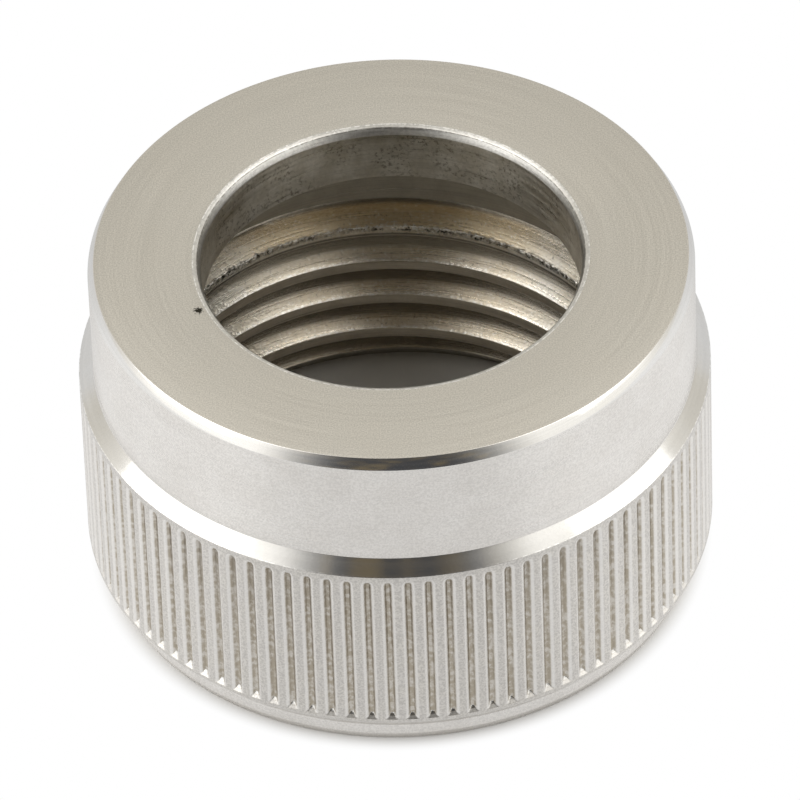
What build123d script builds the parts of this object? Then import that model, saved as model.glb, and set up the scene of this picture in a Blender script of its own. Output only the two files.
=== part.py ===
from build123d import *
from build123d.topology import SkipClean
import os
from math import ceil, pi

# Knurled retaining nut, turned from one bar. Millimetres, +Z up along the axis of the
# nut, open threaded end down on Z = 0, flange with the plain bore on top.

# Outside
HEIGHT = 14.85
COLLAR_HEIGHT = 5.02
STEP_RADIAL = 0.57
STEP_HEIGHT = 0.50
TOP_CHAMFER_RADIAL = 0.24
TOP_CHAMFER_DEPTH = 0.44
LIP_HEIGHT = 0.89
LIP_RADIAL = 0.61
UNDERCUT_HEIGHT = 0.72
BOTTOM_CHAMFER_RADIAL = 0.18
BOTTOM_CHAMFER_HEIGHT = 0.40

# Straight knurl
KNURL_PITCH = 0.7925
KNURL_START_DEG = 2.76
GROOVE_WIDTH = 0.32
GROOVE_FLOOR = 0.13
GROOVE_DEPTH = 0.17
GROOVE_FOOT_MARGIN = 0.24
GROOVE_RUNOUT = 0.45
GROOVE_TOP_MARGIN = 0.05

# Flange and its bore
FLANGE_THICKNESS = 2.50
BORE_R = 7.40
RIM_RADIAL = 0.14
RIM_DEPTH = 0.28
BURNISH_RADIAL = 0.16
BURNISH_DEPTH = 0.13

# Threaded end: half-inch parallel pipe thread, right-hand. A root stands level with the
# top of the threaded length at the back, and the groove ends up in the relief.
# The wall is measured from the major radius out to the crests of the knurl.
THREAD_MAJOR_R = 10.48
THREAD_DEPTH = 1.12
THREAD_PITCH = 1.814
THREAD_CREST_FLAT = 0.45
THREAD_ROOT_FLAT = 0.20
THREAD_TOP = 8.60
THREAD_BACK_DEG = 90.0
THREAD_END_DEG = 210.0
RELIEF_CLEARANCE = 0.61
MOUTH_CLEARANCE = 0.14
MOUTH_DEPTH = 1.62
WALL = 1.88

# Heights and radii that follow from the sizes above
THREAD_MINOR_R = THREAD_MAJOR_R - THREAD_DEPTH
KNURL_R = THREAD_MAJOR_R + WALL
COLLAR_R = KNURL_R - STEP_RADIAL
LIP_R = KNURL_R - LIP_RADIAL
STEP_Z = HEIGHT - COLLAR_HEIGHT
KNURL_TOP_Z = STEP_Z - STEP_HEIGHT
KNURL_FOOT_Z = LIP_HEIGHT + UNDERCUT_HEIGHT
FLANGE_Z = HEIGHT - FLANGE_THICKNESS
RELIEF_R = THREAD_MINOR_R + RELIEF_CLEARANCE
MOUTH_R = THREAD_MAJOR_R + MOUTH_CLEARANCE
KNURL_COUNT = round(2 * pi * KNURL_R / KNURL_PITCH)
THREAD_END_Z = THREAD_TOP + (THREAD_END_DEG - THREAD_BACK_DEG) / 360 * THREAD_PITCH
THREAD_TURNS = ceil((THREAD_END_Z + THREAD_PITCH / 2) / THREAD_PITCH)
OVERCUT = 0.4
THREAD_OVERCUT = 0.2


def turned(*section, arc=360):
    """Revolve a closed half section, given as (radius, height) corners, about Z."""
    face = make_face(Plane.XZ * Polyline(*section, close=True))
    return revolve(face, Axis.Z, arc)


def outside():
    """Solid blank: lip, undercut, knurled band, stepped collar and bevelled top."""
    return turned(
        (0, 0),
        (LIP_R - BOTTOM_CHAMFER_RADIAL, 0),
        (LIP_R, BOTTOM_CHAMFER_HEIGHT),
        (LIP_R, LIP_HEIGHT),
        (KNURL_R, KNURL_FOOT_Z),
        (KNURL_R, KNURL_TOP_Z),
        (COLLAR_R, STEP_Z),
        (COLLAR_R, HEIGHT - TOP_CHAMFER_DEPTH),
        (COLLAR_R - TOP_CHAMFER_RADIAL, HEIGHT),
        (0, HEIGHT),
    )


def flange_bore():
    """Plain bore of the flange with its two-angle rim."""
    rim_r = BORE_R + RIM_RADIAL
    return turned(
        (0, FLANGE_Z - OVERCUT),
        (BORE_R, FLANGE_Z - OVERCUT),
        (BORE_R, HEIGHT - BURNISH_DEPTH - RIM_DEPTH),
        (rim_r, HEIGHT - BURNISH_DEPTH),
        (rim_r + BURNISH_RADIAL, HEIGHT),
        (rim_r + BURNISH_RADIAL, HEIGHT + OVERCUT),
        (0, HEIGHT + OVERCUT),
    )


def threaded_end():
    """Mouth bevel, threaded length and the wider relief under the flange, in two halves."""
    half = turned(
        (0, -OVERCUT),
        (MOUTH_R, -OVERCUT),
        (MOUTH_R, 0),
        (THREAD_MINOR_R, MOUTH_DEPTH),
        (THREAD_MINOR_R, THREAD_TOP),
        (RELIEF_R, THREAD_TOP),
        (RELIEF_R, FLANGE_Z),
        (0, FLANGE_Z),
        arc=180,
    )
    return [half, Rot(Z=180) * half]


def thread_section():
    """Axial section of the thread's groove on +X, carried in past the minor radius."""
    half_mouth = (THREAD_PITCH - THREAD_CREST_FLAT) / 2
    half_root = THREAD_ROOT_FLAT / 2
    flank_slope = (half_mouth - half_root) / THREAD_DEPTH
    inner_r = THREAD_MINOR_R - THREAD_OVERCUT
    half_inner = half_mouth + flank_slope * THREAD_OVERCUT
    return make_face(
        Plane.XZ
        * Polyline(
            (inner_r, -half_inner),
            (THREAD_MAJOR_R, -half_root),
            (THREAD_MAJOR_R, half_root),
            (inner_r, half_inner),
            close=True,
        )
    )


def thread_groove():
    """Helical groove, a solid for each turn, from below the mouth up into the relief."""
    helix = Helix(THREAD_PITCH, THREAD_PITCH, THREAD_MAJOR_R)
    turn = Rot(Z=THREAD_END_DEG) * sweep(thread_section(), path=helix, is_frenet=True)
    return [
        Pos(Z=THREAD_END_Z - (i + 1) * THREAD_PITCH) * turn for i in range(THREAD_TURNS)
    ]


def groove_section():
    """Cross-section of one knurl groove on +X, carried out past the knurl surface."""
    wall_slope = (GROOVE_WIDTH - GROOVE_FLOOR) / 2 / GROOVE_DEPTH
    outer_half = GROOVE_WIDTH / 2 + wall_slope * OVERCUT
    floor_r = KNURL_R - GROOVE_DEPTH
    return make_face(
        Polyline(
            (floor_r, -GROOVE_FLOOR / 2),
            (floor_r, GROOVE_FLOOR / 2),
            (KNURL_R + OVERCUT, outer_half),
            (KNURL_R + OVERCUT, -outer_half),
            close=True,
        )
    )


def groove_side():
    """Side view of one groove: steep ramp at the foot, long run-out at the top."""
    foot = KNURL_FOOT_Z + GROOVE_FOOT_MARGIN
    top = KNURL_TOP_Z - GROOVE_TOP_MARGIN
    floor_r = KNURL_R - GROOVE_DEPTH
    rise = OVERCUT * GROOVE_RUNOUT / GROOVE_DEPTH
    return make_face(
        Plane.XZ
        * Polyline(
            (KNURL_R + OVERCUT, foot - OVERCUT),
            (floor_r, foot + GROOVE_DEPTH),
            (floor_r, top - GROOVE_RUNOUT),
            (KNURL_R + OVERCUT, top + rise),
            close=True,
        )
    )


def groove():
    """One knurl groove as a cutting solid on +X."""
    prism = Pos(Z=-OVERCUT) * extrude(groove_section(), amount=HEIGHT)
    side = extrude(groove_side(), amount=KNURL_PITCH, both=True)
    return prism & side


def knurl_grooves():
    """All grooves of the knurl, evenly spaced round the nut."""
    one = groove()
    step = 360 / KNURL_COUNT
    return [Rot(Z=KNURL_START_DEG + i * step) * one for i in range(KNURL_COUNT)]


def retaining_nut():
    """The finished nut as one solid; each crest face of its thread spans half a turn."""
    nut = outside() - flange_bore()
    nut -= knurl_grooves()
    with SkipClean():
        nut -= threaded_end()
        nut -= thread_groove()
    return nut


def main():
    os.makedirs("parts", exist_ok=True)
    nut = retaining_nut()
    solids = nut.solids()
    if len(solids) != 1:
        raise ValueError(f"expected one solid, got {len(solids)}")
    export_step(solids[0], "parts/retaining_nut.step")


if __name__ == "__main__":
    main()
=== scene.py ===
"""Looks of a knurled retaining nut of stainless steel, with the studio it is shown in."""

import logging
import math
from dataclasses import dataclass
from enum import Enum

import bmesh
import bpy
from bmesh.types import BMEdge, BMesh, BMFace, BMVert
from bpy.types import Material, Node, NodeSocket, Object, World
from mathutils import Matrix, Vector


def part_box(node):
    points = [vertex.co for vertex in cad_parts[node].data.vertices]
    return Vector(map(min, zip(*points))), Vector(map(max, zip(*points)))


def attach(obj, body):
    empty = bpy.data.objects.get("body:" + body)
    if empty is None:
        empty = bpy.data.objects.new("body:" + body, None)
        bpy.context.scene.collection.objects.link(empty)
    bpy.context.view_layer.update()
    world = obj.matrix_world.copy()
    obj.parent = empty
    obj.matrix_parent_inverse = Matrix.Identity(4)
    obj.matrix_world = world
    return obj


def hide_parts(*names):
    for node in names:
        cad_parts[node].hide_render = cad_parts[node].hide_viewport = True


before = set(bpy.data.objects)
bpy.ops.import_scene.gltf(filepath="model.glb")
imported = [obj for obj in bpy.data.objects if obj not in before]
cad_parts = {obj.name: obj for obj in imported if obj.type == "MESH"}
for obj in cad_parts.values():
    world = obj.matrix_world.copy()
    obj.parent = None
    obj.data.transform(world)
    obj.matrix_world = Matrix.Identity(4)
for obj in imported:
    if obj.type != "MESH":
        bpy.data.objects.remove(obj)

MM = 0.001
NODE = "retaining_nut"
BODY = "root"
AXIS = Vector((0.0, 0.0, 1.0))
ORIGIN = Vector((0.0, 0.0, 0.0))
FULL_TURN = 2 * math.pi
MERGE_REACH = 0.001 * MM
PLACE_DIGITS = 8
ROUND_SEGMENTS = 2
LOG = logging.getLogger("retaining_nut")

Color = tuple[float, float, float]


class Region(Enum):
    """Surfaces of the nut that differ in finish, in the order of its material slots."""

    TURNED = 0
    FACED = 1
    BEVEL = 2
    KNURL = 3
    BORE = 4
    THREAD = 5
    CREST = 6
    RELIEF = 7
    RIM = 8


@dataclass(frozen=True)
class NutSizes:
    """Sizes of the nut in metres, read from its solid or measured on the real one."""

    crest_r: float
    height: float
    knurl_count: int = 98
    knurl_start: float = math.radians(2.76)
    collar_drop: float = 0.57 * MM
    collar_height: float = 5.02 * MM
    step_height: float = 0.50 * MM
    top_bevel_radial: float = 0.24 * MM
    top_bevel_depth: float = 0.44 * MM
    lip_drop: float = 0.61 * MM
    lip_height: float = 0.89 * MM
    undercut_height: float = 0.72 * MM
    foot_bevel_radial: float = 0.18 * MM
    foot_bevel_height: float = 0.40 * MM
    flange_thickness: float = 2.50 * MM
    bore_r: float = 7.40 * MM
    rim_radial: float = 0.14 * MM
    rim_depth: float = 0.28 * MM
    burnish_radial: float = 0.16 * MM
    burnish_depth: float = 0.055 * MM
    groove_half: float = 0.16 * MM
    groove_floor_half: float = 0.065 * MM
    groove_depth: float = 0.17 * MM
    groove_foot_margin: float = 0.14 * MM
    groove_runout: float = 0.26 * MM
    groove_top_margin: float = 0.24 * MM
    major_r: float = 10.48 * MM
    minor_r: float = 9.36 * MM
    pitch: float = 1.814 * MM
    crest_flat: float = 0.45 * MM
    root_flat: float = 0.20 * MM
    thread_top: float = 8.60 * MM
    relief_r: float = 9.97 * MM
    mouth_r: float = 10.62 * MM
    mouth_depth: float = 1.62 * MM
    pit_x: float = -7.50 * MM
    pit_y: float = -2.80 * MM

    @classmethod
    def from_frame(cls, node: str) -> "NutSizes":
        """Take the radius over the knurl and the height from the named solid."""
        low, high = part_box(node)
        return cls(crest_r=min(high.x - low.x, high.y - low.y) / 2, height=high.z)

    @property
    def collar_r(self) -> float:
        """Radius of the smooth collar."""
        return self.crest_r - self.collar_drop

    @property
    def lip_r(self) -> float:
        """Radius of the plain lip."""
        return self.crest_r - self.lip_drop

    @property
    def step_z(self) -> float:
        """Height of the upper edge of the bevelled step."""
        return self.height - self.collar_height

    @property
    def knurl_top_z(self) -> float:
        """Height of the knurl's upper edge."""
        return self.step_z - self.step_height

    @property
    def knurl_foot_z(self) -> float:
        """Height of the knurl's lower edge."""
        return self.lip_height + self.undercut_height

    @property
    def groove_foot_z(self) -> float:
        """Height at which a knurl groove starts."""
        return self.knurl_foot_z + self.groove_foot_margin

    @property
    def groove_top_z(self) -> float:
        """Height at which a knurl groove ends."""
        return self.knurl_top_z - self.groove_top_margin

    @property
    def flange_z(self) -> float:
        """Height of the flange's underside."""
        return self.height - self.flange_thickness

    @property
    def rim_r(self) -> float:
        """Radius at which the bore's bevel meets the burnished ring."""
        return self.bore_r + self.rim_radial

    @property
    def burnish_r(self) -> float:
        """Outer radius of the burnished ring."""
        return self.rim_r + self.burnish_radial

    @property
    def mouth_slope(self) -> float:
        """Radius that the bevelled mouth loses for each unit of height."""
        return (self.mouth_r - self.minor_r) / self.mouth_depth

    @property
    def first_crest_top(self) -> float:
        """Height of the uppermost crest's upper edge at the back."""
        return self.thread_top - (self.pitch - self.crest_flat) / 2


@dataclass(frozen=True)
class Corner:
    """A corner of the half section: radius, height and how far its rounding reaches."""

    radius: float
    height: float
    rounding: float = 0.0


@dataclass
class OutsideShell:
    """The turned outside of the nut, from the lower end face over the top into the bore."""

    sizes: NutSizes
    edge_round: float = 0.035 * MM
    fine_round: float = 0.02 * MM
    end_face_inner_r: float = 10.95 * MM
    flange_face_r: float = 8.20 * MM
    shoulder_round: float = 0.14 * MM
    end_round: float = 0.07 * MM
    columns: tuple[float, ...] = (0.30 * MM, 0.235 * MM, 0.17 * MM, 0.13 * MM, 0.095 * MM, 0.065 * MM)
    foot_run: float = 0.24 * MM
    foot_rows: tuple[float, ...] = (0.0, 0.02 * MM, 0.076 * MM, 0.133 * MM, 0.19 * MM, 0.24 * MM)
    top_rows: tuple[float, ...] = (-0.26 * MM, -0.16 * MM, -0.07 * MM, 0.0, 0.07 * MM)

    def corners(self) -> list[Corner]:
        """List the corners of the outside half section, from the lower end face up."""
        s = self.sizes
        return [
            Corner(self.end_face_inner_r, 0.0),
            Corner(s.lip_r - s.foot_bevel_radial, 0.0, self.edge_round),
            Corner(s.lip_r, s.foot_bevel_height, self.edge_round),
            Corner(s.lip_r, s.lip_height, self.edge_round),
            Corner(s.crest_r, s.knurl_foot_z, self.edge_round),
            *(Corner(s.crest_r, s.groove_foot_z + row) for row in self.foot_rows),
            *(Corner(s.crest_r, s.groove_top_z + row) for row in self.top_rows),
            Corner(s.crest_r, s.knurl_top_z, self.fine_round),
            Corner(s.collar_r, s.step_z, self.fine_round),
            Corner(s.collar_r, s.height - s.top_bevel_depth, self.fine_round),
            Corner(s.collar_r - s.top_bevel_radial, s.height, self.fine_round),
            Corner(s.burnish_r, s.height, self.edge_round),
            Corner(s.rim_r, s.height - s.burnish_depth, self.edge_round),
            Corner(s.bore_r, s.height - s.burnish_depth - s.rim_depth, self.edge_round),
            Corner(s.bore_r, s.flange_z, self.edge_round),
            Corner(self.flange_face_r, s.flange_z),
        ]

    def build(self, bm: BMesh) -> None:
        """Make the shell: one knurl pitch of it first, then its copies round the axis.

        Args:
            bm: Mesh that the shell is added to.
        """
        s = self.sizes
        turn = FULL_TURN / s.knurl_count
        places = [turn / 2, *(math.asin(column / s.crest_r) for column in self.columns)]
        half = [outer - inner for outer, inner in zip(places, places[1:])]
        chain = rounded_chain(bm, self.corners())
        start = Matrix.Rotation(-turn / 2, 3, AXIS)
        bmesh.ops.rotate(bm, cent=ORIGIN, matrix=start, verts=bm.verts[:])
        spin_steps(bm, chain, [*half, 2 * places[-1], *half[::-1]])
        self.press_groove(bm)
        whole = bm.verts[:] + bm.edges[:] + bm.faces[:]
        copies = s.knurl_count - 1
        bmesh.ops.spin(
            bm, geom=whole, cent=ORIGIN, axis=AXIS, dvec=ORIGIN, angle=turn * copies,
            steps=copies, use_merge=False, use_duplicate=True,
        )
        bmesh.ops.remove_doubles(bm, verts=bm.verts[:], dist=MERGE_REACH)
        start = Matrix.Rotation(s.knurl_start, 3, AXIS)
        bmesh.ops.rotate(bm, cent=ORIGIN, matrix=start, verts=bm.verts[:])
        put_in_order(bm)

    def press_groove(self, bm: BMesh) -> None:
        """Sink the groove into the middle of one knurl pitch.

        Args:
            bm: Mesh that holds one pitch of the shell, centred on +X.
        """
        s = self.sizes
        run = s.groove_half - s.groove_floor_half
        for vert in bm.verts:
            radius = vert.co.xy.length
            if abs(radius - s.crest_r) > MERGE_REACH:
                continue
            share = self.sunk(s.groove_half - abs(vert.co.y), run, self.shoulder_round)
            share *= self.sunk(s.groove_top_z - vert.co.z, s.groove_runout, self.end_round)
            share = min(share, max(vert.co.z - s.groove_foot_z, 0.0) / self.foot_run)
            scale = 1 - share * s.groove_depth / radius
            vert.co.x *= scale
            vert.co.y *= scale

    @staticmethod
    def sunk(inward: float, run: float, reach: float) -> float:
        """Share of its depth that a groove reaches at a distance inside its outline.

        Args:
            inward: Distance from the outline, less than 0 outside it.
            run: Length of the slope down to the floor.
            reach: How far the rounded shoulder reaches to both sides of the outline.

        Returns:
            The share.
        """
        if inward > reach:
            return min(inward / run, 1.0)
        return min(max(inward + reach, 0.0) ** 2 / (4 * reach * run), 1.0)


@dataclass
class ThreadedWall:
    """The inside below the flange: relief, right-hand thread and bevelled mouth."""

    sizes: NutSizes
    columns: int = 294
    root_round: float = 0.12 * MM
    crest_round: float = 0.05 * MM
    flank_cuts: int = 3
    seam_angle: float = math.radians(-90)
    back_angle: float = math.radians(90)
    cut_top: float = 9.95 * MM
    shoulder_rise: float = 0.01 * MM
    worn_slope: float = math.tan(math.radians(8))
    worn_depth: float = 0.08 * MM
    worn_fade: float = math.radians(30)
    fade_start: float = math.radians(195)
    fade_end: float = math.radians(226)

    def build(self, bm: BMesh) -> None:
        """Make the wall as a flat sheet, cut its ends to shape and wrap it round the axis.

        Args:
            bm: Empty mesh that takes the wall.
        """
        s = self.sizes
        self.flat_thread(bm)
        trim(bm, Vector((0, 0, 0)), Vector((0, 0, 1)), drop_below=True)
        trim(bm, Vector((0, 0, self.cut_top)), Vector((0, 0, -1)), drop_below=True)
        for height in (s.thread_top, s.thread_top + self.shoulder_rise):
            trim(bm, Vector((0, 0, height)), AXIS)
        trim(bm, Vector((0, s.relief_r, 0)), Vector((0, 1, 0)), above=s.thread_top)
        trim(bm, Vector((0, s.mouth_r, 0)), Vector((0, 1, s.mouth_slope)))
        put_in_order(bm)
        for vert in bm.verts:
            vert.co.y = self.wall_radius(vert.co)
        self.wrap(bm)
        bmesh.ops.remove_doubles(bm, verts=bm.verts[:], dist=MERGE_REACH)
        self.raise_relief(bm)
        put_in_order(bm)

    def thread_section(self, bm: BMesh, root_z: float, turns: int) -> list:
        """Draw the axial section of the thread upwards over several pitches.

        Args:
            bm: Mesh that takes the section.
            root_z: Height of the lowest root's middle.
            turns: Number of pitches.

        Returns:
            The section's vertices and edges.
        """
        s = self.sizes
        half_mouth = (s.pitch - s.crest_flat) / 2
        half_root = s.root_flat / 2
        corners = [Corner(s.minor_r, root_z - s.pitch / 2)]
        for turn in range(turns):
            z = root_z + turn * s.pitch
            corners += [
                Corner(s.minor_r, z - half_mouth, self.crest_round),
                Corner(s.major_r, z - half_root, self.root_round),
                Corner(s.major_r, z + half_root, self.root_round),
                Corner(s.minor_r, z + half_mouth, self.crest_round),
                Corner(s.minor_r, z + s.pitch / 2),
            ]
        chain = rounded_chain(bm, corners)
        flanks = [
            item for item in chain
            if isinstance(item, BMEdge) and item.calc_length() > s.pitch / 3
        ]
        bmesh.ops.subdivide_edges(bm, edges=flanks, cuts=self.flank_cuts)
        return bm.verts[:] + bm.edges[:]

    def flat_thread(self, bm: BMesh) -> None:
        """Run the section along a straight line that rises one pitch per turn.

        Args:
            bm: Empty mesh that takes the sheet: X along the turn, Y the radius.
        """
        s = self.sizes
        seam_root = s.thread_top + (self.seam_angle - self.back_angle) / FULL_TURN * s.pitch
        below = math.ceil(seam_root / s.pitch) + 1
        section = self.thread_section(bm, seam_root - below * s.pitch, below + 3)
        bmesh.ops.rotate(
            bm, cent=ORIGIN, matrix=Matrix.Rotation(math.pi / 2, 3, AXIS), verts=bm.verts[:]
        )
        step = Vector((FULL_TURN * s.minor_r, 0, s.pitch)) / self.columns
        bmesh.ops.spin(
            bm, geom=section, cent=ORIGIN, axis=AXIS, dvec=step, angle=0.0,
            steps=self.columns, use_merge=False, use_duplicate=False,
        )

    def wall_radius(self, place: Vector) -> float:
        """Radius of the wall at a place on the flat sheet, with relief and mouth cut.

        Args:
            place: A place on the sheet.

        Returns:
            The radius there.
        """
        s = self.sizes
        radius = max(place.y, s.mouth_r - s.mouth_slope * place.z)
        angle = self.seam_angle + place.x / s.minor_r
        climb = s.pitch * (angle - self.back_angle) / FULL_TURN
        first_crest = s.first_crest_top - s.crest_flat + climb
        worn = min(self.worn_slope * (place.z - first_crest), self.worn_depth)
        from_seam = min(angle - self.seam_angle, self.seam_angle + FULL_TURN - angle)
        worn *= min(from_seam / self.worn_fade, 1.0)
        radius = max(radius, s.minor_r + worn)
        if place.z < s.thread_top + self.shoulder_rise / 2:
            return radius
        # Above the shoulder only the groove goes on, and it fades out into the relief.
        start_z = place.z - s.pitch * (angle - self.seam_angle) / FULL_TURN
        if start_z > s.thread_top:
            return s.relief_r
        fade = (self.fade_end - angle) / (self.fade_end - self.fade_start)
        room = (s.major_r - s.relief_r) * min(max(fade, 0.0), 1.0)
        return min(max(radius, s.relief_r), s.relief_r + room)

    def wrap(self, bm: BMesh) -> None:
        """Wrap the flat sheet round the axis.

        Args:
            bm: Mesh that holds the sheet.
        """
        for vert in bm.verts:
            angle = self.seam_angle + vert.co.x / self.sizes.minor_r
            radius = vert.co.y
            vert.co.x = radius * math.cos(angle)
            vert.co.y = radius * math.sin(angle)

    def raise_relief(self, bm: BMesh) -> None:
        """Draw the plain relief wall up to the flange.

        Args:
            bm: Mesh that holds the wrapped wall.
        """
        brink = open_loop(bm, self.cut_top)
        grown = bmesh.ops.extrude_edge_only(bm, edges=brink)["geom"]
        verts = [item for item in grown if isinstance(item, BMVert)]
        rise = self.sizes.flange_z - self.cut_top
        bmesh.ops.translate(bm, verts=verts, vec=(0, 0, rise))


def rounded_chain(bm: BMesh, corners: list[Corner]) -> list:
    """Draw a chain of edges through corners in the XZ plane and round the corners.

    Args:
        bm: Mesh that takes the chain.
        corners: The corners in order.

    Returns:
        The vertices and edges of the chain.
    """
    verts = [bm.verts.new((c.radius, 0.0, c.height)) for c in corners]
    for first, second in zip(verts, verts[1:]):
        bm.edges.new((first, second))
    by_size: dict[float, list[BMVert]] = {}
    for vert, corner in zip(verts, corners):
        if corner.rounding > 0:
            by_size.setdefault(corner.rounding, []).append(vert)
    for size, chosen in by_size.items():
        bmesh.ops.bevel(
            bm, geom=chosen, offset=size, segments=ROUND_SEGMENTS,
            profile=0.5, affect="VERTICES", material=-1, clamp_overlap=True,
        )
    return bm.verts[:] + bm.edges[:]


def spin_steps(bm: BMesh, chain: list, angles: list[float]) -> None:
    """Spin a chain round the axis through a row of unequal angles.

    Args:
        bm: Mesh that holds the chain.
        chain: Vertices and edges to spin.
        angles: The angles, one column of faces each.
    """
    for angle in angles:
        result = bmesh.ops.spin(
            bm, geom=chain, cent=ORIGIN, axis=AXIS, dvec=ORIGIN, angle=angle, steps=1,
            use_merge=False, use_duplicate=False,
        )
        chain = result["geom_last"]


def trim(bm: BMesh, place: Vector, normal: Vector, drop_below: bool = False,
         above: float | None = None) -> None:
    """Cut a mesh along a plane.

    Args:
        bm: Mesh to cut.
        place: A point of the plane.
        normal: Normal of the plane.
        drop_below: Whether the side that the normal points away from is removed.
        above: Cut only faces that reach above this height.
    """
    faces = bm.faces[:]
    if above is not None:
        faces = [f for f in faces if max(v.co.z for v in f.verts) > above]
    edges = list(dict.fromkeys(edge for face in faces for edge in face.edges))
    verts = list(dict.fromkeys(vert for edge in edges for vert in edge.verts))
    bmesh.ops.bisect_plane(
        bm, geom=verts + edges + faces, dist=MERGE_REACH / 2, plane_co=place,
        plane_no=normal.normalized(), clear_inner=drop_below,
    )


def put_in_order(bm: BMesh) -> None:
    """Number vertices, edges and faces by place: cuts and merges leave their order open.

    A cut also leaves the last digit of a place open, so the places are rounded.

    Args:
        bm: Mesh to put in order.
    """
    for vert in bm.verts:
        vert.co = [round(part, PLACE_DIGITS) + 0.0 for part in vert.co]
    for index, vert in enumerate(sorted(bm.verts, key=lambda v: v.co[:])):
        vert.index = index
    bm.verts.sort()
    for parts in (bm.edges, bm.faces):
        ordered = sorted(parts, key=lambda p: sorted(v.index for v in p.verts))
        for index, part in enumerate(ordered):
            part.index = index
        parts.sort()


def open_loop(bm: BMesh, height: float) -> list[BMEdge]:
    """Find the open edges at a height.

    Args:
        bm: Mesh to search.
        height: Height of the loop.

    Returns:
        The open edges there.
    """
    return [
        edge for edge in bm.edges
        if edge.is_boundary and all(abs(v.co.z - height) < 2 * MERGE_REACH for v in edge.verts)
    ]


@dataclass
class RetainingNut:
    """The whole nut as one closed mesh."""

    sizes: NutSizes
    sharp_angle: float = math.radians(34)
    slack: float = 0.03 * MM
    facet_depth: float = 0.08 * MM
    facet_height: float = 0.25 * MM
    facet_lift: float = 0.5

    def build(self) -> Object:
        """Join the outside and the threaded wall, and dress the nut.

        Returns:
            The finished nut.
        """
        s = self.sizes
        bm = bmesh.new()
        OutsideShell(s).build(bm)
        inside = bmesh.new()
        ThreadedWall(s).build(inside)
        carrier = bpy.data.meshes.new("threaded_wall")
        inside.to_mesh(carrier)
        inside.free()
        bm.from_mesh(carrier)
        bpy.data.meshes.remove(carrier)
        for height in (0.0, s.flange_z):
            bmesh.ops.triangle_fill(
                bm, use_beauty=True, use_dissolve=False, edges=open_loop(bm, height), normal=AXIS,
            )
        bmesh.ops.recalc_face_normals(bm, faces=bm.faces[:])
        for face in bm.faces:
            face.smooth = True
            face.material_index = self.region(face).value
        holes = sum(1 for edge in bm.edges if not edge.is_manifold)
        LOG.info("nut mesh: %d faces, %d open edges", len(bm.faces), holes)
        mesh = bpy.data.meshes.new("nut")
        bm.to_mesh(mesh)
        bm.free()
        mesh.set_sharp_from_angle(angle=self.sharp_angle)
        nut = bpy.data.objects.new("nut", mesh)
        weighted = nut.modifiers.new("even_normals", "WEIGHTED_NORMAL")
        weighted.mode = "FACE_AREA"
        weighted.keep_sharp = True
        bpy.context.scene.collection.objects.link(nut)
        for finish in finishes(s):
            mesh.materials.append(finish.material())
        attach(nut, BODY)
        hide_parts(NODE)
        return nut

    def region(self, face: BMFace) -> Region:
        """Tell which finish a face has from where it lies.

        Args:
            face: A face of the nut.

        Returns:
            Its region.
        """
        s = self.sizes
        place = face.calc_center_median()
        radius = place.xy.length
        if radius < s.mouth_r + self.slack and place.z < s.flange_z - self.slack:
            if radius < s.minor_r + self.slack / 3:
                return Region.CREST
            if place.z > s.thread_top and radius < s.relief_r + self.slack / 3:
                return Region.RELIEF
            return Region.THREAD
        if radius < s.bore_r + self.slack / 3 and place.z < s.height - s.burnish_depth:
            return Region.BORE
        if radius < s.burnish_r + self.slack:
            return Region.RIM
        if place.z > s.height - self.slack / 10:
            return Region.FACED
        if place.z > s.height - s.top_bevel_depth or s.knurl_top_z < place.z < s.step_z:
            return Region.BEVEL
        if s.knurl_foot_z - self.slack < place.z < s.knurl_top_z:
            low = place.z < s.groove_foot_z + self.facet_height
            deep = radius < s.crest_r - self.facet_depth
            return Region.BEVEL if low and deep and face.normal.z > self.facet_lift else Region.KNURL
        return Region.TURNED


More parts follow.
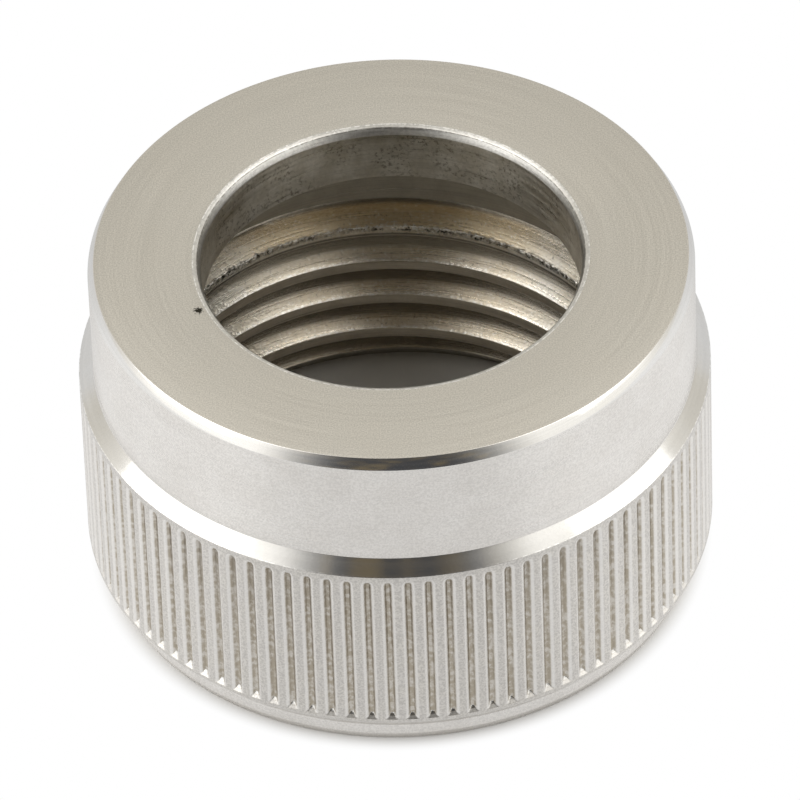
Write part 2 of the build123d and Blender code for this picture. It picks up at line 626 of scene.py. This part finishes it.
class Graph:
    """Short notation for the nodes of a material or a world."""

    def __init__(self, owner: Material | World) -> None:
        """Start with no nodes.

        Args:
            owner: The material or world.
        """
        self.owner = owner
        owner.use_nodes = True
        self.tree = owner.node_tree
        self.tree.nodes.clear()

    def node(self, kind: str, **settings: object) -> Node:
        """Add a node.

        Args:
            kind: Type of the node.
            settings: Values of its properties.

        Returns:
            The node.
        """
        node = self.tree.nodes.new(kind)
        for name, value in settings.items():
            setattr(node, name, value)
        return node

    def link(self, source: NodeSocket, target: NodeSocket) -> None:
        """Join an output to an input."""
        self.tree.links.new(source, target)

    def feed(self, target: NodeSocket, value: object) -> None:
        """Give an input a fixed value or another node's output.

        Args:
            target: The input.
            value: A number, a colour, a vector or an output.
        """
        if isinstance(value, NodeSocket):
            self.link(value, target)
        else:
            target.default_value = value

    def math(self, operation: str, *values: object) -> NodeSocket:
        """Work out a number from others.

        Args:
            operation: Name of the operation.
            values: Numbers or outputs.

        Returns:
            The output with the result.
        """
        node = self.node("ShaderNodeMath", operation=operation)
        for target, value in zip(node.inputs, values):
            self.feed(target, value)
        return node.outputs[0]

    def fit(self, value: NodeSocket, low: float, high: float, to_low: float = 0.0,
            to_high: float = 1.0) -> NodeSocket:
        """Bring a number smoothly from one range to another.

        Args:
            value: The number.
            low: Start of its range.
            high: End of its range.
            to_low: Result at the start.
            to_high: Result at the end.

        Returns:
            The output with the result.
        """
        node = self.node("ShaderNodeMapRange", interpolation_type="SMOOTHSTEP")
        for target, number in zip(node.inputs, (value, low, high, to_low, to_high)):
            self.feed(target, number)
        return node.outputs[0]

    def blend(self, share: object, first: object, second: object) -> NodeSocket:
        """Mix two colours.

        Args:
            share: Share of the second colour.
            first: A colour or an output.
            second: A colour or an output.

        Returns:
            The mixed colour.
        """
        node = self.node("ShaderNodeMix", data_type="RGBA")
        self.feed(node.inputs["Factor"], share)
        for slot, value in ((6, first), (7, second)):
            self.feed(node.inputs[slot], (*value, 1) if isinstance(value, tuple) else value)
        return node.outputs[2]

    def split(self, vector: NodeSocket) -> tuple[NodeSocket, NodeSocket, NodeSocket]:
        """Take a vector apart.

        Args:
            vector: The vector.

        Returns:
            Its three parts.
        """
        node = self.node("ShaderNodeSeparateXYZ")
        self.link(vector, node.inputs[0])
        return node.outputs[0], node.outputs[1], node.outputs[2]

    def reach(self, x: NodeSocket, y: NodeSocket) -> NodeSocket:
        """Work out the distance from the axis."""
        return self.math("SQRT", self.math("MULTIPLY_ADD", x, x, self.math("MULTIPLY", y, y)))

    def noise(self, vector: NodeSocket, scale: float, detail: float = 3.0,
              roughness: float = 0.55) -> NodeSocket:
        """Add a noise pattern.

        Args:
            vector: Coordinates.
            scale: Number of features per unit.
            detail: Number of finer layers.
            roughness: Weight of the finer layers.

        Returns:
            Its value from 0 to 1.
        """
        node = self.node("ShaderNodeTexNoise")
        self.link(vector, node.inputs["Vector"])
        for name, value in (("Scale", scale), ("Detail", detail), ("Roughness", roughness)):
            node.inputs[name].default_value = value
        return node.outputs["Fac"]

    def finish(self, shader: NodeSocket) -> Material | World:
        """Send a shader to the output.

        Args:
            shader: Output of the shader.

        Returns:
            The material or world.
        """
        world = isinstance(self.owner, World)
        output = self.node("ShaderNodeOutputWorld" if world else "ShaderNodeOutputMaterial")
        self.link(shader, output.inputs["Surface"])
        return self.owner


class SteelGraph(Graph):
    """Nodes of a steel, with where on the nut a point of it lies."""

    def __init__(self, owner: Material, lead: float) -> None:
        """Work out the place, the distance from the axis and the height less the climb.

        Args:
            owner: The material.
            lead: How far the surface climbs in each turn.
        """
        super().__init__(owner)
        self.place = self.node("ShaderNodeTexCoord").outputs["Object"]
        self.x, self.y, z = self.split(self.place)
        self.radius = self.reach(self.x, self.y)
        angle = self.math("ARCTAN2", self.math("MULTIPLY", self.x, -1.0), self.y)
        self.level = self.math("MULTIPLY_ADD", self.math("DIVIDE", angle, FULL_TURN), -lead, z)

    def drawn_out(self, length: float, pitch: float) -> NodeSocket:
        """Coordinates in which a pattern is drawn out round the axis.

        Args:
            length: Features along the radius of a turn.
            pitch: Size of a feature across.

        Returns:
            The coordinates.
        """
        joined = self.node("ShaderNodeCombineXYZ")
        for target, part in zip(joined.inputs, (self.x, self.y)):
            unit = self.math("DIVIDE", part, self.radius)
            self.link(self.math("MULTIPLY", unit, length), target)
        across = self.math("ADD", self.radius, self.level)
        self.link(self.math("DIVIDE", across, pitch), joined.inputs[2])
        return joined.outputs[0]

    def specks(self, size: float, detail: float = 3.0, roughness: float = 0.6) -> NodeSocket:
        """Add a noise pattern on the nut with features of a given size."""
        return self.noise(self.place, 1 / size, detail, roughness)

    def ring(self, radius: float, reach: float) -> NodeSocket:
        """Draw a thin line round the axis that fades out within its reach to both sides."""
        off = self.math("ABSOLUTE", self.math("SUBTRACT", self.radius, radius))
        return self.fit(off, reach, reach / 3)


@dataclass(frozen=True)
class ToolMarks:
    """Fine lines that the tool left round the axis, with their sizes in millimetres."""

    pitch: float
    length: float
    depth: float
    shade: float


@dataclass(frozen=True)
class Grain:
    """Fine grain of a surface, with its sizes in millimetres."""

    size: float
    depth: float
    shade: float


@dataclass(frozen=True)
class MachinedSteel:
    """Stainless steel with tool marks that run round the axis."""

    name: str
    color: Color
    tint: Color
    tint_share: float
    marks: ToolMarks
    grain: Grain
    blotch_size: float = 0.8 * MM
    roughness: float = 0.34
    spread: float = 0.08
    anisotropy: float = 0.0
    lead: float = 0.0
    hollow_share: float = 0.35

    def material(self) -> Material:
        """Make the material.

        Returns:
            The material.
        """
        g = SteelGraph(bpy.data.materials.new(self.name), self.lead)
        marks = g.noise(g.drawn_out(self.marks.length, self.marks.pitch * MM), 1.0, 4.0, 0.6)
        grain = g.specks(self.grain.size * MM, 2.0, 0.55)
        shader = g.node("ShaderNodeBsdfPrincipled")
        g.link(self.marks_and_painted_light(g, self.clean(g, marks, grain)), shader.inputs["Base Color"])
        shader.inputs["Metallic"].default_value = 1.0
        shader.inputs["Anisotropic"].default_value = self.anisotropy
        shader.inputs["Anisotropic Rotation"].default_value = 0.25
        low, high = self.roughness - self.spread, self.roughness + self.spread
        g.link(self.gloss(g, g.fit(marks, 0.25, 0.75, low, high)), shader.inputs["Roughness"])
        height = g.math("MULTIPLY", marks, self.marks.depth)
        rough = g.math("MULTIPLY_ADD", grain, self.grain.depth, height)
        bump = g.node("ShaderNodeBump")
        bump.inputs["Distance"].default_value = MM
        g.link(self.worn(g, rough), bump.inputs["Height"])
        g.link(bump.outputs["Normal"], shader.inputs["Normal"])
        return g.finish(shader.outputs["BSDF"])

    def clean(self, g: SteelGraph, marks: NodeSocket, grain: NodeSocket) -> NodeSocket:
        """Mix the colour of the clean steel.

        Args:
            g: The material's nodes.
            marks: Pattern of the tool marks.
            grain: Pattern of the grain.

        Returns:
            The colour, darker in the hollows of both patterns.
        """
        blotch = g.specks(self.blotch_size, 3.0, 0.55)
        share = g.math("MULTIPLY", g.fit(blotch, 0.35, 0.65), self.tint_share)
        color = g.blend(share, self.color, self.tint)
        hollow = tuple(self.hollow_share * part for part in self.color)
        color = g.blend(g.fit(marks, 0.62, 0.32, 0.0, self.marks.shade), color, hollow)
        return g.blend(g.fit(grain, 0.65, 0.35, 0.0, self.grain.shade), color, hollow)

    # Subclasses add their marks here; the knurl and thread steels also add painted highlights and
    # painted shade.
    def marks_and_painted_light(self, g: SteelGraph, color: NodeSocket) -> NodeSocket:
        """Leave the colour clean."""
        return color

    def gloss(self, g: SteelGraph, roughness: NodeSocket) -> NodeSocket:
        """Leave the gloss even."""
        return roughness

    def worn(self, g: SteelGraph, height: NodeSocket) -> NodeSocket:
        """Leave the surface whole."""
        return height


@dataclass(frozen=True)
class SoiledSteelWithPaintedHighlight(MachinedSteel):
    """Machined steel with grooves: a painted highlight along their shoulders, and soiled deep down.
    """

    soil: Color = (0.36, 0.31, 0.23)
    soil_share: float = 0.85
    soil_from: float = 1.0
    soil_to: float = 0.0
    soil_size: float = 0.22 * MM
    # Painted highlight: the shoulder colour lightens the rounded shoulders of the lands, as the light
    # from the sides would.
    shoulder: Color = (0.9, 0.88, 0.85)
    shoulder_highlight_share: float = 0.6
    shoulder_highlight_from: float = 1.0
    shoulder_highlight_to: float = 0.0

    def marks_and_painted_light(self, g: SteelGraph, color: NodeSocket) -> NodeSocket:
        """Add the painted highlight on the shoulders and the soil, between two radii each.

        Args:
            g: The material's nodes.
            color: Colour of the clean steel.

        Returns:
            The colour with the painted highlight and the soil.
        """
        # Painted highlight along the shoulders first, then the soil deeper down.
        shoulder = g.fit(g.radius, self.shoulder_highlight_from, self.shoulder_highlight_to, 0.0, self.shoulder_highlight_share)
        color = g.blend(shoulder, color, self.shoulder)
        depth = g.fit(g.radius, self.soil_from, self.soil_to)
        patches = g.fit(g.specks(self.soil_size, 4.0, 0.55), 0.35, 0.6, 0.45, 1.0)
        share = g.math("MULTIPLY", g.math("MULTIPLY", depth, patches), self.soil_share)
        return g.blend(share, color, self.soil)


@dataclass(frozen=True)
class StainedSteel(MachinedSteel):
    """Machined steel with dark specks and stains."""

    stain: Color = (0.10, 0.085, 0.06)
    stain_share: float = 0.6
    speck_size: float = 0.16 * MM
    stain_size: float = 1.3 * MM

    def marks_and_painted_light(self, g: SteelGraph, color: NodeSocket) -> NodeSocket:
        """Add specks that gather in stains.

        Args:
            g: The material's nodes.
            color: Colour of the clean steel.

        Returns:
            The stained colour.
        """
        specks = g.fit(g.specks(self.speck_size, 3.0, 0.7), 0.50, 0.64)
        where = g.fit(g.specks(self.stain_size, 3.0, 0.55), 0.40, 0.60, 0.15, 1.0)
        share = g.math("MULTIPLY", g.math("MULTIPLY", specks, where), self.stain_share)
        return g.blend(share, color, self.stain)


@dataclass(frozen=True)
class ThreadSteel(MachinedSteel):
    """Steel of the thread: painted shade deep down, a band of painted light under the uppermost
    crest, painted highlights along the frayed crest edges and a torn crest edge.
    """

    sizes: NutSizes | None = None
    # Painted shade: the dark colour fills the depth of the groove, where the ridge above hides the
    # light.
    dark: Color = (0.34, 0.31, 0.26)
    # Painted light: the smooth colour lightens the band of flank and root under the uppermost crest.
    smooth: Color = (0.93, 0.91, 0.86)
    brown: Color = (0.58, 0.46, 0.30)
    gold: Color = (0.76, 0.63, 0.42)
    bright: Color = (0.95, 0.93, 0.88)
    pit: Color = (0.05, 0.042, 0.03)
    smooth_roughness: float = 0.26
    painted_shade_from: float = 9.80 * MM
    painted_shade_to: float = 10.06 * MM
    first_painted_shade_from: float = 10.20 * MM
    first_painted_shade_to: float = 10.40 * MM
    painted_light_drop: float = 0.62 * MM
    shade_line_above: float = 0.14 * MM
    shade_line_below: float = 0.10 * MM
    shade_line_share: float = 0.75
    blur: float = 0.04 * MM
    fringe: float = 0.07 * MM
    fray: float = 0.20 * MM
    tear: float = 0.16 * MM
    tear_drop: float = 0.10 * MM
    flake_size: float = 0.16 * MM
    flake_rise: float = 0.14
    seam_cosines: tuple[float, float] = (-0.97, -0.75)
    back_cosines: tuple[float, float] = (0.70, 0.98)

    def below_edge(self, g: SteelGraph, every_turn: bool) -> NodeSocket:
        """Measure how far below a crest's upper edge a point lies.

        Args:
            g: The material's nodes.
            every_turn: Whether every crest counts, or only the uppermost.

        Returns:
            The distance along the axis, less where above the edge, frayed by a noise.
        """
        drop = g.math("SUBTRACT", self.sizes.first_crest_top, g.level)
        if every_turn:
            pitch = self.sizes.pitch
            turns = g.math("FLOOR", g.math("MULTIPLY_ADD", drop, 1 / pitch, 0.5))
            drop = g.math("MULTIPLY_ADD", turns, -pitch, drop)
        sway = g.math("SUBTRACT", g.specks(self.fray), 0.5)
        return g.math("MULTIPLY_ADD", sway, self.fray, drop)

    def toward_back(self, g: SteelGraph, cosines: tuple[float, float]) -> NodeSocket:
        """Rise from 0 to 1 between two cosines of the angle from the back."""
        return g.fit(g.math("DIVIDE", g.y, g.radius), *cosines)

    def upper(self, g: SteelGraph, drop: float) -> NodeSocket:
        """Find what lies above a line below the uppermost crest's upper edge.

        Args:
            g: The material's nodes.
            drop: How far below that edge the line lies.

        Returns:
            1 above the line, 0 below it and in front, where the turns meet.
        """
        line = self.sizes.first_crest_top - drop
        above = g.fit(g.level, line - self.blur, line + self.blur)
        return g.math("MULTIPLY", above, self.toward_back(g, self.seam_cosines))

    def torn(self, g: SteelGraph) -> NodeSocket:
        """Find the torn line along the uppermost crest's edge.

        Args:
            g: The material's nodes.

        Returns:
            1 on the line, 0 away from it.
        """
        far = g.math("SUBTRACT", self.below_edge(g, False), self.tear_drop)
        gaps = g.fit(g.specks(4 * self.flake_size, 2.0, 0.55), 0.38, 0.56, 0.15, 1.0)
        gaps = g.math("MULTIPLY", gaps, self.toward_back(g, self.seam_cosines))
        return g.math("MULTIPLY", gaps, g.fit(g.math("ABSOLUTE", far), self.tear, self.tear / 4))

    def marks_and_painted_light(self, g: SteelGraph, color: NodeSocket) -> NodeSocket:
        """Add the browned back and flecks, painted light and painted shade in the groove, painted
        highlights along the crest edges and the torn line.
        """
        return self.highlit_and_torn(g, self.deepened(g, self.browned_and_flecked(g, color)))

    def browned_and_flecked(self, g: SteelGraph, color: NodeSocket) -> NodeSocket:
        """Brown the back, gild the uppermost flank there and scatter flecks.

        Args:
            g: The material's nodes.
            color: Colour of the flank.

        Returns:
            The browned and flecked colour.
        """
        back = g.fit(self.toward_back(g, self.back_cosines), 0.0, 1.0, 0.10, 0.9)
        color = g.blend(g.math("MULTIPLY", back, 0.5), color, self.brown)
        color = g.blend(g.math("MULTIPLY", self.upper(g, 0.0), back), color, self.gold)
        flecks = g.specks(0.8 * self.flake_size, 4.0, 0.7)
        color = g.blend(g.fit(flecks, 0.54, 0.66, 0.0, 0.6), color, self.bright)
        return g.blend(g.fit(flecks, 0.42, 0.32, 0.0, 0.5), color, self.pit)

    def deepened(self, g: SteelGraph, color: NodeSocket) -> NodeSocket:
        """Paint a band of light on the flank under the uppermost crest, and paint shade in the depth
        of the groove and along that crest's lower edge.

        Args:
            g: The material's nodes.
            color: Colour of the browned and flecked flank.

        Returns:
            The colour with bands of painted light and painted shade.
        """
        flat = self.sizes.crest_flat
        second = self.upper(g, flat + self.painted_light_drop)
        # Painted light on the band under the uppermost crest.
        color = g.blend(g.math("SUBTRACT", second, self.upper(g, flat)), color, self.smooth)
        # Painted shade: the depth of the groove below the band, and the root corner of the first
        # groove above it, turn dark.
        deep = g.math("MULTIPLY", g.math("SUBTRACT", 1.0, second), 0.9)
        depth = g.math("MULTIPLY", deep, g.fit(g.radius, self.painted_shade_from, self.painted_shade_to))
        first = g.math("MULTIPLY", second, g.fit(g.radius, self.first_painted_shade_from, self.first_painted_shade_to))
        color = g.blend(g.math("MAXIMUM", depth, first), color, self.dark)
        # Painted shade: a dark line along the uppermost crest's lower edge.
        line = g.math("SUBTRACT", self.upper(g, flat + self.shade_line_below),
                      self.upper(g, flat - self.shade_line_above))
        return g.blend(g.math("MULTIPLY", line, self.shade_line_share), color, self.pit)

    def highlit_and_torn(self, g: SteelGraph, color: NodeSocket) -> NodeSocket:
        """Paint highlights along the crest edges, broken up like burrs, and break up the torn line.

        Args:
            g: The material's nodes.
            color: Colour of the banded flank.

        Returns:
            The colour with the painted edge highlights and the torn line.
        """
        flakes = g.specks(self.flake_size)
        far = g.math("ABSOLUTE", self.below_edge(g, True))
        # Painted highlight along every crest edge, broken up by the flakes like burrs.
        edge = g.math("MULTIPLY", g.fit(far, self.fringe, 0.0), g.fit(flakes, 0.4, 0.6, 0.3, 1.0))
        color = g.blend(edge, color, self.bright)
        torn = self.torn(g)
        chips = g.math("MULTIPLY", torn, g.fit(flakes, 0.53, 0.60, 0.0, 0.9))
        color = g.blend(chips, color, self.bright)
        return g.blend(g.math("MULTIPLY", torn, g.fit(flakes, 0.51, 0.45)), color, self.pit)

    def gloss(self, g: SteelGraph, roughness: NodeSocket) -> NodeSocket:
        """Make the depth of the groove glossier.

        Args:
            g: The material's nodes.
            roughness: Roughness of the rough part.

        Returns:
            The roughness.
        """
        deep = g.fit(g.radius, self.painted_shade_from, self.painted_shade_to)
        step = g.math("SUBTRACT", self.smooth_roughness, roughness)
        return g.math("MULTIPLY_ADD", deep, step, roughness)

    def worn(self, g: SteelGraph, height: NodeSocket) -> NodeSocket:
        """Raise the flakes of the torn line out of the surface, in millimetres."""
        raised = g.math("MULTIPLY", g.specks(self.flake_size), self.torn(g))
        return g.math("MULTIPLY_ADD", raised, self.flake_rise, height)


@dataclass(frozen=True)
class RimSteel(MachinedSteel):
    """Steel with a scored line at one radius and a broken bright burr at another."""

    score_r: float = 0.0
    score: float = 0.022 * MM
    burr_r: float = 0.0
    burr: float = 0.035 * MM
    flake_size: float = 0.20 * MM
    dark: Color = (0.16, 0.15, 0.13)
    bright: Color = (0.97, 0.96, 0.94)

    def marks_and_painted_light(self, g: SteelGraph, color: NodeSocket) -> NodeSocket:
        """Draw the scored line and the broken burr.

        Args:
            g: The material's nodes.
            color: Colour of the rim.

        Returns:
            The colour with both lines.
        """
        flakes = g.specks(self.flake_size)
        score = g.math("MULTIPLY", g.ring(self.score_r, self.score),
                       g.fit(flakes, 0.36, 0.56, 0.25, 0.8))
        color = g.blend(score, color, self.dark)
        burr = g.math("MULTIPLY", g.ring(self.burr_r, self.burr), g.fit(flakes, 0.46, 0.56))
        return g.blend(burr, color, self.bright)


@dataclass(frozen=True)
class NickedSteel(MachinedSteel):
    """Machined steel with a small pit."""

    pit_place: tuple[float, float, float] = (0.0, 0.0, 0.0)
    pit_size: float = 0.22 * MM
    pit: Color = (0.03, 0.027, 0.02)

    def marks_and_painted_light(self, g: SteelGraph, color: NodeSocket) -> NodeSocket:
        """Add the pit.

        Args:
            g: The material's nodes.
            color: Colour of the whole surface.

        Returns:
            The colour with the pit.
        """
        sway = g.math("SUBTRACT", g.specks(0.5 * self.pit_size), 0.5)
        away = g.node("ShaderNodeVectorMath", operation="DISTANCE")
        g.link(g.place, away.inputs[0])
        away.inputs[1].default_value = self.pit_place
        far = g.math("MULTIPLY_ADD", sway, 2 * self.pit_size, away.outputs["Value"])
        return g.blend(g.fit(far, self.pit_size, 0.4 * self.pit_size), color, self.pit)


def finishes(s: NutSizes) -> list[MachinedSteel]:
    """List the finishes in the order of the regions.

    Args:
        s: Sizes of the nut.

    Returns:
        The finishes.
    """
    warm = (0.72, 0.69, 0.63)
    return [
        MachinedSteel(
            "turned_steel", (0.825, 0.80, 0.765), (0.76, 0.73, 0.69), 0.5,
            blotch_size=1.5 * MM, roughness=0.30, spread=0.05, anisotropy=0.3,
            marks=ToolMarks(0.05, 1.2, 0.0012, 0.08),
            grain=Grain(0.09, 0.004, 0.20),
        ),
        NickedSteel(
            "faced_steel", (0.675, 0.65, 0.595), (0.68, 0.65, 0.59), 0.4,
            blotch_size=2.0 * MM, roughness=0.46, spread=0.05, anisotropy=0.2,
            marks=ToolMarks(0.06, 1.5, 0.0010, 0.08),
            grain=Grain(0.055, 0.004, 0.32),
            pit_place=(s.pit_x, s.pit_y, s.height),
        ),
        RimSteel(
            "bevel_steel", (0.80, 0.79, 0.77), warm, 0.2,
            blotch_size=1.5 * MM, roughness=0.13, spread=0.04, anisotropy=0.3,
            marks=ToolMarks(0.04, 0.8, 0.0008, 0.10),
            grain=Grain(0.12, 0.0006, 0.04),
            burr_r=s.crest_r, burr=0.05 * MM,
        ),
        SoiledSteelWithPaintedHighlight(
            "knurl_steel", (0.69, 0.665, 0.63), warm, 0.4,
            blotch_size=1.0 * MM, roughness=0.36, spread=0.05,
            marks=ToolMarks(0.30, 6.0, 0.002, 0.04),
            grain=Grain(0.08, 0.007, 0.34),
            soil_from=s.crest_r - 0.06 * MM, soil_to=s.crest_r - 0.12 * MM,
            shoulder_highlight_from=s.crest_r - 0.001 * MM, shoulder_highlight_to=s.crest_r - 0.02 * MM,
        ),
        StainedSteel(
            "bore_steel", (0.66, 0.63, 0.56), (0.50, 0.46, 0.38), 0.7,
            blotch_size=0.9 * MM, anisotropy=0.7,
            marks=ToolMarks(0.12, 1.6, 0.004, 0.25),
            grain=Grain(0.12, 0.004, 0.15),
        ),
        ThreadSteel(
            "thread_steel", (0.98, 0.94, 0.85), (0.88, 0.80, 0.64), 0.6,
            blotch_size=0.9 * MM, roughness=0.30, spread=0.07, anisotropy=0.9,
            marks=ToolMarks(0.10, 2.4, 0.010, 0.35),
            grain=Grain(0.12, 0.012, 0.15),
            lead=s.pitch, sizes=s,
        ),
        MachinedSteel(
            "crest_steel", (0.58, 0.52, 0.43), (0.50, 0.44, 0.35), 0.6,
            anisotropy=0.6,
            marks=ToolMarks(0.05, 1.4, 0.004, 0.3),
            grain=Grain(0.10, 0.004, 0.1),
            lead=s.pitch,
        ),
        MachinedSteel(
            "relief_steel", (0.46, 0.425, 0.36), (0.38, 0.35, 0.29), 0.6,
            anisotropy=0.7,
            marks=ToolMarks(0.07, 1.4, 0.004, 0.3),
            grain=Grain(0.10, 0.004, 0.1),
        ),
        RimSteel(
            "rim_steel", (0.76, 0.75, 0.72), (0.68, 0.66, 0.61), 0.4,
            anisotropy=0.4,
            marks=ToolMarks(0.05, 3.0, 0.004, 0.25),
            grain=Grain(0.12, 0.008, 0.25),
            score_r=s.rim_r, burr_r=s.burnish_r,
        ),
    ]


@dataclass(frozen=True)
class SoftBox:
    """A soft box that looks at the nut: bearing from +X and elevation in degrees."""

    name: str
    bearing: float
    elevation: float
    distance: float
    width: float
    height: float
    radiance: float

    def build(self, target: Vector) -> None:
        """Place the soft box.

        Args:
            target: The place that it looks at.
        """
        data = bpy.data.lights.new(self.name, "AREA")
        data.shape = "RECTANGLE"
        data.size = self.width
        data.size_y = self.height
        data.energy = self.radiance * math.pi * self.width * self.height
        lamp = bpy.data.objects.new(self.name, data)
        bpy.context.scene.collection.objects.link(lamp)
        bearing, elevation = math.radians(self.bearing), math.radians(self.elevation)
        flat = math.cos(elevation)
        way = Vector((flat * math.cos(bearing), flat * math.sin(bearing), math.sin(elevation)))
        aim = (-way).to_track_quat("-Z", "Y").to_matrix().to_4x4()
        lamp.matrix_world = Matrix.Translation(target + way * self.distance) @ aim


@dataclass(frozen=True)
class StudioAir:
    """Soft light from all round: bright sides, a calm back and a dim room in front."""

    right: Color = (1.20, 1.18, 1.13)
    left: Color = (1.35, 1.33, 1.29)
    back: Color = (0.72, 0.695, 0.64)
    high: Color = (2.30, 2.25, 2.16)
    zenith: Color = (0.55, 0.53, 0.48)
    room: Color = (0.068, 0.070, 0.076)
    room_warm: Color = (0.19, 0.155, 0.10)
    room_patches: float = 9.0

    def build(self) -> None:
        """Make the world."""
        world = bpy.data.worlds.new("studio_air")
        bpy.context.scene.world = world
        g = Graph(world)
        way = g.node("ShaderNodeTexCoord").outputs["Generated"]
        x, y, z = g.split(way)
        toward = g.math("DIVIDE", g.math("MULTIPLY", y, -1.0), g.reach(x, y))
        sides = g.blend(g.fit(x, 0.2, -0.2), self.right, self.left)
        air = g.blend(g.fit(toward, 0.10, -0.55), sides, self.back)
        high = g.math("MULTIPLY", g.fit(z, 0.60, 0.76), g.fit(g.math("ABSOLUTE", toward), 0.85, 0.60))
        air = g.blend(high, air, self.high)
        air = g.blend(g.fit(z, 0.93, 0.995), air, self.zenith)
        hues = g.fit(g.noise(way, self.room_patches, 2.0), 0.47, 0.66)
        room = g.blend(hues, self.room, self.room_warm)
        background = g.node("ShaderNodeBackground")
        g.link(g.blend(g.fit(toward, 0.975, 0.62), room, air), background.inputs["Color"])
        g.finish(background.outputs[0])


@dataclass(frozen=True)
class StudioFloor:
    """Pale floor, white to the eye beyond the nut's own shadow."""

    half: float = 1.5
    paper: Color = (0.72, 0.71, 0.69)
    shadow_from: float = 11.3 * MM
    shadow_to: float = 12.4 * MM
    front_shade: float = 0.84
    back_shade: float = 0.72

    def build(self) -> None:
        """Lay the floor."""
        bm = bmesh.new()
        bmesh.ops.create_grid(bm, x_segments=1, y_segments=1, size=self.half)
        mesh = bpy.data.meshes.new("floor")
        bm.to_mesh(mesh)
        bm.free()
        floor = bpy.data.objects.new("floor", mesh)
        bpy.context.scene.collection.objects.link(floor)
        mesh.materials.append(self.material())

    def material(self) -> Material:
        """Make the floor's material.

        Returns:
            Paper that is lit by the lamps, with the white that the camera and the steel see.
        """
        g = Graph(bpy.data.materials.new("floor_white"))
        x, y, _ = g.split(g.node("ShaderNodeTexCoord").outputs["Object"])
        distance = g.reach(x, y)
        rays = g.node("ShaderNodeLightPath").outputs
        seen = g.math("MAXIMUM", rays["Is Camera Ray"], rays["Is Glossy Ray"])
        seen = g.math("MAXIMUM", seen, rays["Is Transmission Ray"])
        away = g.fit(distance, self.shadow_from, self.shadow_to)
        paper = g.node("ShaderNodeBsdfDiffuse")
        paper.inputs["Color"].default_value = (*self.paper, 1)
        white = g.node("ShaderNodeEmission")
        toward = g.math("DIVIDE", g.math("MULTIPLY", y, -1.0), distance)
        front = g.fit(toward, 0.60, 0.97, 1.0, self.front_shade)
        shade = g.math("MINIMUM", front, g.fit(toward, -0.2, -0.8, 1.0, self.back_shade))
        g.link(g.math("MAXIMUM", rays["Is Camera Ray"], shade), white.inputs["Strength"])
        mixed = g.node("ShaderNodeMixShader")
        g.link(g.math("MULTIPLY", seen, away), mixed.inputs[0])
        g.link(paper.outputs[0], mixed.inputs[1])
        g.link(white.outputs[0], mixed.inputs[2])
        return g.finish(mixed.outputs[0])


@dataclass
class Studio:
    """Pale floor, soft boxes, soft air and the camera."""

    sizes: NutSizes
    boxes: tuple[SoftBox, ...] = (
        SoftBox("left_soft_box", -170, 34, distance=0.40, width=0.32, height=0.32, radiance=0.9),
        SoftBox("right_soft_box", -8, 34, distance=0.40, width=0.26, height=0.30, radiance=0.6),
    )
    camera_place: tuple[float, float, float] = (0.000149, -0.31405, 0.29741)
    camera_elevation: float = 0.746
    camera_roll: float = 0.0365
    lens: float = 490.4
    clip_start: float = 0.01

    def build(self) -> None:
        """Set up the floor, the air, the soft boxes and the camera."""
        StudioFloor().build()
        StudioAir().build()
        for box in self.boxes:
            box.build(Vector((0, 0, self.sizes.height / 2)))
        self.camera()

    def camera(self) -> None:
        """Place the camera at the viewing angle of the reference."""
        el, roll = self.camera_elevation, self.camera_roll
        forward = Vector((0, math.cos(el), -math.sin(el)))
        up = Vector((0, math.sin(el), math.cos(el)))
        right = Vector((1, 0, 0))
        x_axis = right * math.cos(roll) - up * math.sin(roll)
        y_axis = right * math.sin(roll) + up * math.cos(roll)
        data = bpy.data.cameras.new("camera")
        data.lens = self.lens
        data.clip_start = self.clip_start
        camera = bpy.data.objects.new("camera", data)
        bpy.context.scene.collection.objects.link(camera)
        turn = Matrix((x_axis, y_axis, -forward)).transposed().to_4x4()
        camera.matrix_world = Matrix.Translation(self.camera_place) @ turn
        bpy.context.scene.camera = camera


def main() -> None:
    """Build the nut and its studio, and log the nut's triangle count."""
    logging.basicConfig(level=logging.INFO, format="%(name)s: %(message)s")
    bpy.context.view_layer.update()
    sizes = NutSizes.from_frame(NODE)
    nut = RetainingNut(sizes).build()
    LOG.info("%s: %d triangles", nut.name, sum(len(p.vertices) - 2 for p in nut.data.polygons))
    Studio(sizes).build()
    bpy.context.scene.view_settings.view_transform = "Standard"


if __name__ == "__main__":
    main()
